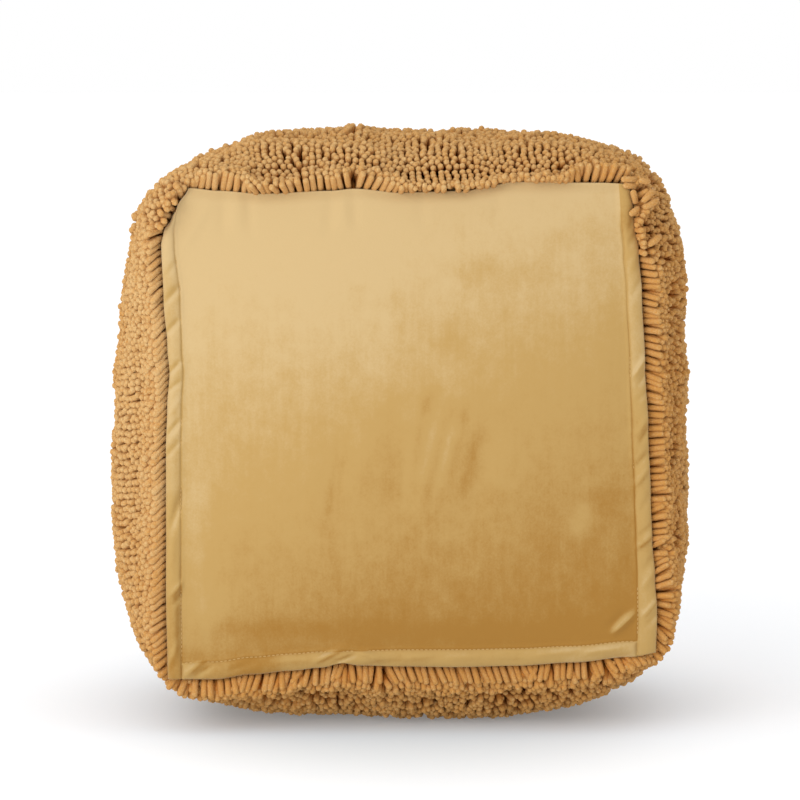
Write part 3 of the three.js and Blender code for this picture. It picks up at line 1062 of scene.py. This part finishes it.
def finger_meshes(name, roots, mids, tips, radii, tints, shown, bent=True):
    """One mesh of many fingers, each a closed, rounded sausage of a few rings.

    shown is the least value of each finger's height, which goes from 0 at its root to 1."""
    count, sides = len(roots), FINGER_SIDES
    control = 2 * mids - (roots + tips) / 2
    ends = unit(tips - control)
    turn = np.arange(sides) * 2 * math.pi / sides
    cross = unit(np.cross(unit(tips - roots), np.array([0.31, 0.52, 0.79])))
    rings = []
    heights = []
    stages = [(0.0, 0, 0.9), (0.5, 0, 1.0), (1.0, 0, 1.0), (1.0, 0.64, 0.78)]
    if not bent:
        stages.pop(1)
    for share, past, wide in stages:
        centre = (1 - share) ** 2 * roots + 2 * share * (1 - share) * control + share**2 * tips
        centre = centre + ends * (past * radii)[:, None]
        way = ends if share == 1 else unit((1 - share) * (control - roots) + share * (tips - control))
        first = unit(cross - way * (cross * way).sum(axis=1, keepdims=True))
        second = np.cross(way, first)
        ring = first[:, None] * np.cos(turn)[:, None] + second[:, None] * np.sin(turn)[:, None]
        rings.append(centre[:, None] + ring * (radii * wide)[:, None, None])
        heights += [share * 0.8 + past * 0.2] * sides
    top = (tips + ends * radii[:, None])[:, None]
    points = np.concatenate([*rings, top], axis=1)
    heights.append(1.0)
    each = points.shape[1]
    quads = []
    for ring in range(len(stages) - 1):
        for k in range(sides):
            a, b = ring * sides + k, ring * sides + (k + 1) % sides
            quads.append((a, b, b + sides, a + sides))
    last = (len(stages) - 1) * sides
    caps = [(last + k, last + (k + 1) % sides, each - 1) for k in range(sides)]
    root = [tuple(range(sides))[::-1]]
    faces = quads + caps + root
    sizes = np.tile([len(face) for face in faces], count)
    loop = np.concatenate([np.array(face) for face in faces])
    loops = (loop[None] + np.arange(count)[:, None] * each).ravel()
    mesh = bpy.data.meshes.new(name)
    mesh.vertices.add(count * each)
    mesh.vertices.foreach_set("co", to_frame(points.reshape(-1, 3)).ravel())
    mesh.loops.add(len(loops))
    mesh.loops.foreach_set("vertex_index", loops)
    mesh.polygons.add(len(sizes))
    mesh.polygons.foreach_set("loop_start", np.concatenate([[0], np.cumsum(sizes)[:-1]]))
    mesh.update(calc_edges=True)
    heights = np.maximum(np.array(heights)[None], shown[:, None]).ravel()
    for label, values in (("height", heights), ("tint", np.repeat(tints, each))):
        mesh.attributes.new(label, "FLOAT", "POINT").data.foreach_set("value", values)
    mesh.validate()
    return mesh


def make_fingers(material):
    random = np.random.default_rng(SEED)
    side_angle, side_out = side_rows()
    crown_angle, crown_out = crown_grid()
    angle = np.concatenate([side_angle, crown_angle])
    out = np.concatenate([side_out, crown_out])
    uneven = ROOTS_STRAY["near"] + ROOTS_STRAY["more"] * past(ROOTS_STRAY, out)
    angle = angle + random.normal(size=len(angle)) * uneven / MEAN_RADIUS
    out = np.minimum(out + random.normal(size=len(out)) * uneven, SECTION_LENGTH)
    roots = backing(angle, out)
    normals = facing(angle, out)

    # Beside the seam the hem presses the fingers outwards, away from the way the cloth faces
    side = unit(normals * np.array([1, 0, 1]))
    from_first = out - np.interp(angle % (2 * math.pi), lap, first_out)
    tilt = np.interp(from_first, FORWARD["out"], FORWARD["degrees"])
    degrees = np.degrees(angle) % 360
    tilt = tilt + read(LEANS, degrees, "first") * (1 - past(FIRST_ROW, from_first))
    tilt = np.radians(tilt + read(LEANS, degrees, "forward"))[:, None]
    pressed = side * np.cos(tilt) - np.array([0, 1, 0]) * np.sin(tilt)
    share = past(FORWARD_BLEND, from_first)[:, None]
    upright = unit(pressed * (1 - share) + normals * share)

    # Far from the panel all the cloth is alike
    alike = past(ALIKE, from_first)
    stray_share = read(LEANS, degrees, "stray") * (1 - alike) + ALIKE["stray"] * alike
    clump_share = read(LEANS, degrees, "clumps") * (1 - alike) + ALIKE["clumps"] * alike
    thick = read(LEANS, degrees, "thick") * (1 - alike) + ALIKE["thick"] * alike
    painted_light = read(PAINTED_LIGHT_BY_SIDE, degrees, "more") * (1 - alike)

    stray = random.normal(size=roots.shape) * stray_share[:, None]
    lean = lean_of(roots, random) * clump_share[:, None] + stray
    lean -= normals * (lean * normals).sum(axis=1, keepdims=True)
    calm = (CALM["least"] + (1 - CALM["least"]) * past(CALM, from_first))[:, None]
    first = 1 - past(FIRST_ROWS, from_first)
    drooping = LATER_DROOP * (1 - alike) + (1 - LATER_DROOP) * first
    droop = read(LEANS, degrees, "droop") * drooping
    down = np.array([0, 0, -1]) * droop[:, None]
    right = np.array([1, 0, 0]) * (read(LEANS, degrees, "right") * first)[:, None]
    after = past(ROWS_AFTER, from_first) * (1 - past(ROWS_AFTER_END, from_first))
    forward = np.array([0, -1, 0]) * (read(LEANS, degrees, "after") * after)[:, None]
    wishes = []
    for half in (LOW_HALF, HIGH_HALF):
        wish = upright + lean * calm * half["lean"] + down * half["droop"] + right
        wishes.append(unit(wish + forward * half["forward"]))
    radii = FINGER_RADIUS * random.uniform(*THICK_SPREAD, len(roots)) * thick
    long = FINGER_LONG * random.uniform(*LONG_SPREAD, len(roots)) - radii
    half_long = (long * 0.5)[:, None]
    mids, tips = settle(roots, normals, *wishes, half_long, radii)
    feet = roots - normals * ROOT_DEPTH
    # A random tone for each finger, plus painted light: lighter on the lit upper left, deeper on the
    # right and bottom
    tints = random.uniform(0, 1, len(roots)) + painted_light
    # The painted shade at the roots is left off the first row, and less of it shows on the lit side
    shown = ROOTS_SHOWN["least"] + ROOTS_SHOWN["painted_light"] * painted_light
    shown = shown * (1 - past(ROOTS_SHOWN, from_first))

    # Six pieces, so that none is too large
    crown = np.arange(len(roots)) >= len(side_angle)
    upper = roots[:, 2] > MIDDLE_Z
    flank = np.abs(roots[:, 0]) / HALF_WIDTH > np.abs(roots[:, 2] - MIDDLE_Z) / HALF_HEIGHT
    parts = {
        "fingers_top": ~crown & ~flank & upper,
        "fingers_bottom": ~crown & ~flank & ~upper,
        "fingers_left": ~crown & flank & (roots[:, 0] < 0),
        "fingers_right": ~crown & flank & (roots[:, 0] >= 0),
        "fingers_crown_upper": crown & upper,
        "fingers_crown_lower": crown & ~upper,
    }
    pieces = []
    for name, part in parts.items():
        bent = "crown" not in name
        values = [array[part] for array in (feet, mids, tips, radii, tints, shown)]
        mesh = finger_meshes(name, *values, bent)
        pieces.append(put_in_scene(name, mesh, material, "chenille"))
    return pieces


def make_tufts(material):
    foot_x, foot_z = TUFTS["foot_x"], TUFTS["foot_z"]
    head_x, head_z = TUFTS["head_x"], TUFTS["head_z"]
    foot_y = panel_back(foot_x, foot_z) + TUFT_FOOT_BEHIND
    front = panel_back(head_x, head_z) - HEM_THICK
    middle_y = front - TUFTS["over"] * 0.3
    feet = np.stack([foot_x, foot_y, foot_z], -1)
    mids = np.stack([foot_x * 0.75 + head_x * 0.25, middle_y, foot_z * 0.75 + head_z * 0.25], -1)
    tips = np.stack([head_x, front - TUFTS["over"], head_z], -1)
    radii = np.full(len(feet), FINGER_RADIUS * TUFT_THICK)
    tints, shown = np.full(len(feet), 0.3), np.full(len(feet), 0.8)
    mesh = finger_meshes("fingers_at_corners", feet, mids, tips, radii, tints, shown)
    return put_in_scene("fingers_at_corners", mesh, material, "chenille")


def stations(cells, has_far_hem):
    """Places of the panel's columns or rows: a share of the near hem, of the cloth, of the far hem."""
    near = [(share, 0, 1) for share in HEM_STEPS]
    beside = [step / PANEL_ACROSS for step in BESIDE_STITCH]
    even = np.linspace(beside[-1] * 2, 1 - beside[-1] * 2, cells - 1)
    inner = [*beside, *even, *[1 - share for share in reversed(beside)]]
    middle = [(1, share, 1) for share in inner]
    far = [(1, 1, share) for share in reversed(HEM_STEPS)] if has_far_hem else []
    return np.array(near + middle + far)


def make_base_panel(material):
    """The velvet, a thin sheet whose columns follow the side edges and whose rows the others."""
    column, row = stations(INNER_CELLS, True), stations(INNER_CELLS, False)
    bm = bmesh.new()
    bmesh.ops.create_grid(bm, x_segments=len(column) - 1, y_segments=len(row) - 1, size=1)
    bmesh.ops.solidify(bm, geom=bm.faces[:], thickness=1)
    mesh = mesh_from(bm, "base_panel_velvet")
    flat = corners_of(mesh)
    front = flat[:, 2] > flat[:, 2].mean()
    i = np.rint((flat[:, 0] + 1) / 2 * (len(column) - 1)).astype(int)
    j = np.rint((flat[:, 1] + 1) / 2 * (len(row) - 1)).astype(int)
    near_x, inner_x, far_x = column[i].T
    near_z, inner_z, _ = row[j].T
    x, z = np.full(len(flat), float(DOME["x"])), np.full(len(flat), float(DOME["z"]))
    for _ in range(4):
        low, low_hem = read(BOTTOM_SIDE, x, "edge"), read(BOTTOM_SIDE, x, "hem")
        high = read(TOP_SIDE, x, "edge")
        z = low + low_hem * near_z + (high - low - low_hem) * inner_z
        left, left_hem = read(LEFT_SIDE, z, "edge"), read(LEFT_SIDE, z, "hem")
        right, right_hem = read(RIGHT_SIDE, z, "edge"), read(RIGHT_SIDE, z, "hem")
        x = left + left_hem * near_x + (right - left - left_hem - right_hem) * inner_x
        x = x + right_hem * (1 - far_x)
    back = panel_back(x, z)

    # Heights over the rear face: a hem is two layers and swells, and the thread presses the cloth
    in_side_hem = np.minimum(near_x, far_x)
    side = hem_swell(in_side_hem)
    low = hem_swell(near_z)
    from_left, from_right = x - left - left_hem, right - right_hem - x
    from_low = z - read(BOTTOM_SIDE, x, "edge") - low_hem
    beside = smooth(np.minimum(from_left, from_right) / 4)
    is_side, is_low = in_side_hem < 1, near_z < 1
    hem = np.where(is_side, side - EDGE_ROLL * (1 - near_z) ** 5, low * beside)
    from_low_stitch = np.where(is_side, PANEL_ACROSS, np.abs(from_low))
    from_stitch = np.minimum(np.minimum(np.abs(from_left), np.abs(from_right)), from_low_stitch)
    in_seam = np.exp(-((from_stitch / STITCH_PRESS_WIDE) ** 2)) * smooth(left_hem / 9)
    pressed = STITCH_PRESS * in_seam
    thick = np.where(is_side | is_low, HEM_THICK + hem, CLOTH)
    step = smooth(np.minimum(np.minimum(from_left, from_right), from_low) / 3)
    thick = np.where(is_side | is_low, thick, HEM_THICK + (CLOTH - HEM_THICK) * step)

    def creases(x, z):
        return strokes(CREASES, "high", x, z) * step + strokes(HEM_CREASES, "high", x, z) * (1 - step)

    swell = thick - pressed + creases(x, z) * CREASE_SHARE
    swell = np.maximum(swell, 1.2)
    y = back - np.where(front, swell, 0)
    move_corners(mesh, np.stack([x, y, z], -1))

    # How deep the velvet is drawn: stroked marks in the nap, lighter hems, painted shade along the
    # stitching, and creases drawn lighter on their side towards the upper left and deeper on the
    # other, as painted light and shade
    pale = np.where(near_x < 1, read(LEFT_SIDE, z, "pale"), read(RIGHT_SIDE, z, "pale"))
    pale = np.where(is_side, pale, np.where(is_low, read(BOTTOM_SIDE, x, "pale"), 0))
    lit = creases(x - 0.5, z + 0.5) - creases(x + 0.5, z - 0.5)
    deeper = np.where(np.abs(from_low) > STITCH_PRESS_WIDE * 2, STITCH_DEEPER, LOW_STITCH_DEEPER)
    deep = strokes(BRUSHED, "deep", x, z) - pale + lit * CREASE_PAINTED_LIGHT + in_seam * deeper
    mesh.attributes.new("brushed", "FLOAT", "POINT").data.foreach_set("value", deep)
    face_outwards(mesh)
    return put_in_scene("base_panel_velvet", mesh, material, "velvet")


def stitch_lines():
    """The three lines of stitching, as points across and up, each with how deep its stitches sink and
    the stretches where they stand out.
    """
    z = np.linspace(70, 505, 400)
    left = np.stack([read(LEFT_SIDE, z, "edge") + read(LEFT_SIDE, z, "hem"), z], -1)
    z = np.linspace(92, 510, 400)
    right = np.stack([read(RIGHT_SIDE, z, "edge") - read(RIGHT_SIDE, z, "hem"), z], -1)
    x = np.linspace(-203, 220, 400)
    low = np.stack([x, read(BOTTOM_SIDE, x, "edge") + read(BOTTOM_SIDE, x, "hem")], -1)
    return [(left, SUNK, ()), (right, SUNK, SHOWN_ON_RIGHT), (low, SUNK_BELOW, ())]


def make_stitches(material):
    bm = bmesh.new()
    for line, sunk, shown in stitch_lines():
        along = np.concatenate([[0], np.cumsum(np.linalg.norm(np.diff(line, axis=0), axis=1))])
        start = STITCH_GAP
        while start + STITCH_LONG < along[-1]:
            end = start + STITCH_LONG
            (x1, x2), (z1, z2) = (np.interp((start, end), along, line[:, k]) for k in (0, 1))
            x, z = (x1 + x2) / 2, (z1 + z2) / 2
            shows = any(low < z < high for low, high in shown)
            deep = SUNK_BELOW if shows else sunk
            y = panel_back(np.array(x), np.array(z)) - HEM_THICK + STITCH_PRESS + deep
            made = bmesh.ops.create_uvsphere(bm, u_segments=6, v_segments=4, radius=1)["verts"]
            size = Vector((STITCH_WIDE, STITCH_WIDE, STITCH_LONG / 2))
            bmesh.ops.scale(bm, verts=made, vec=size)
            way = Vector((x2 - x1, 0, z2 - z1)).to_track_quat("Z", "Y")
            bmesh.ops.rotate(bm, verts=made, cent=(0, 0, 0), matrix=way.to_matrix())
            bmesh.ops.translate(bm, verts=made, vec=(x, float(y), z))
            start += STITCH_LONG + STITCH_GAP
    mesh = mesh_from(bm, "hem_stitching")
    move_corners(mesh, corners_of(mesh))
    return put_in_scene("hem_stitching", mesh, material, "velvet")


def make_floor(material):
    bm = bmesh.new()
    bmesh.ops.create_grid(bm, x_segments=4, y_segments=4, size=FLOOR_REACH)
    floor = put_in_scene("floor", mesh_from(bm, "floor"), material)


def add_camera():
    down = math.radians(CAMERA["down"])
    y = CAMERA["aim_y"] - CAMERA["away"] * math.cos(down)
    z = CAMERA["aim_z"] + CAMERA["away"] * math.sin(down)
    data = bpy.data.cameras.new("camera")
    data.lens = CAMERA["lens"]
    data.sensor_width = CAMERA["sensor"]
    camera = bpy.data.objects.new("camera", data)
    camera.location = to_frame([0, y, z])
    camera.rotation_euler = (math.pi / 2 - down, 0, 0)
    bpy.context.scene.collection.objects.link(camera)
    bpy.context.scene.camera = camera


def add_light():
    world = bpy.data.worlds.new("studio")
    world.use_nodes = True
    background = world.node_tree.nodes["Background"]
    background.inputs["Color"].default_value = (1, 1, 1, 1)
    background.inputs["Strength"].default_value = 1.0
    bpy.context.scene.world = world
    bpy.context.scene.view_settings.view_transform = "Standard"
    data = bpy.data.lights.new("key", "AREA")
    data.shape = "SQUARE"
    data.size = KEY_LAMP["size"]
    data.energy = KEY_LAMP["power"]
    lamp = bpy.data.objects.new("key", data)
    lamp.location = KEY_LAMP["place"]
    towards = Vector(KEY_LAMP["aim"]) - Vector(KEY_LAMP["place"])
    lamp.rotation_euler = towards.to_track_quat("-Z", "Y").to_euler()
    bpy.context.scene.collection.objects.link(lamp)


add_camera()
add_light()
make_floor(floor_finish())

chenille = chenille_finish()
cushion = make_cushion(backing_finish())
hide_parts("shag_cover")
for piece in [*make_fingers(chenille), make_tufts(chenille)]:
    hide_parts("shag_cover")

panel = make_base_panel(velvet_finish())
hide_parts("base_panel")
stitching = make_stitches(thread_finish())
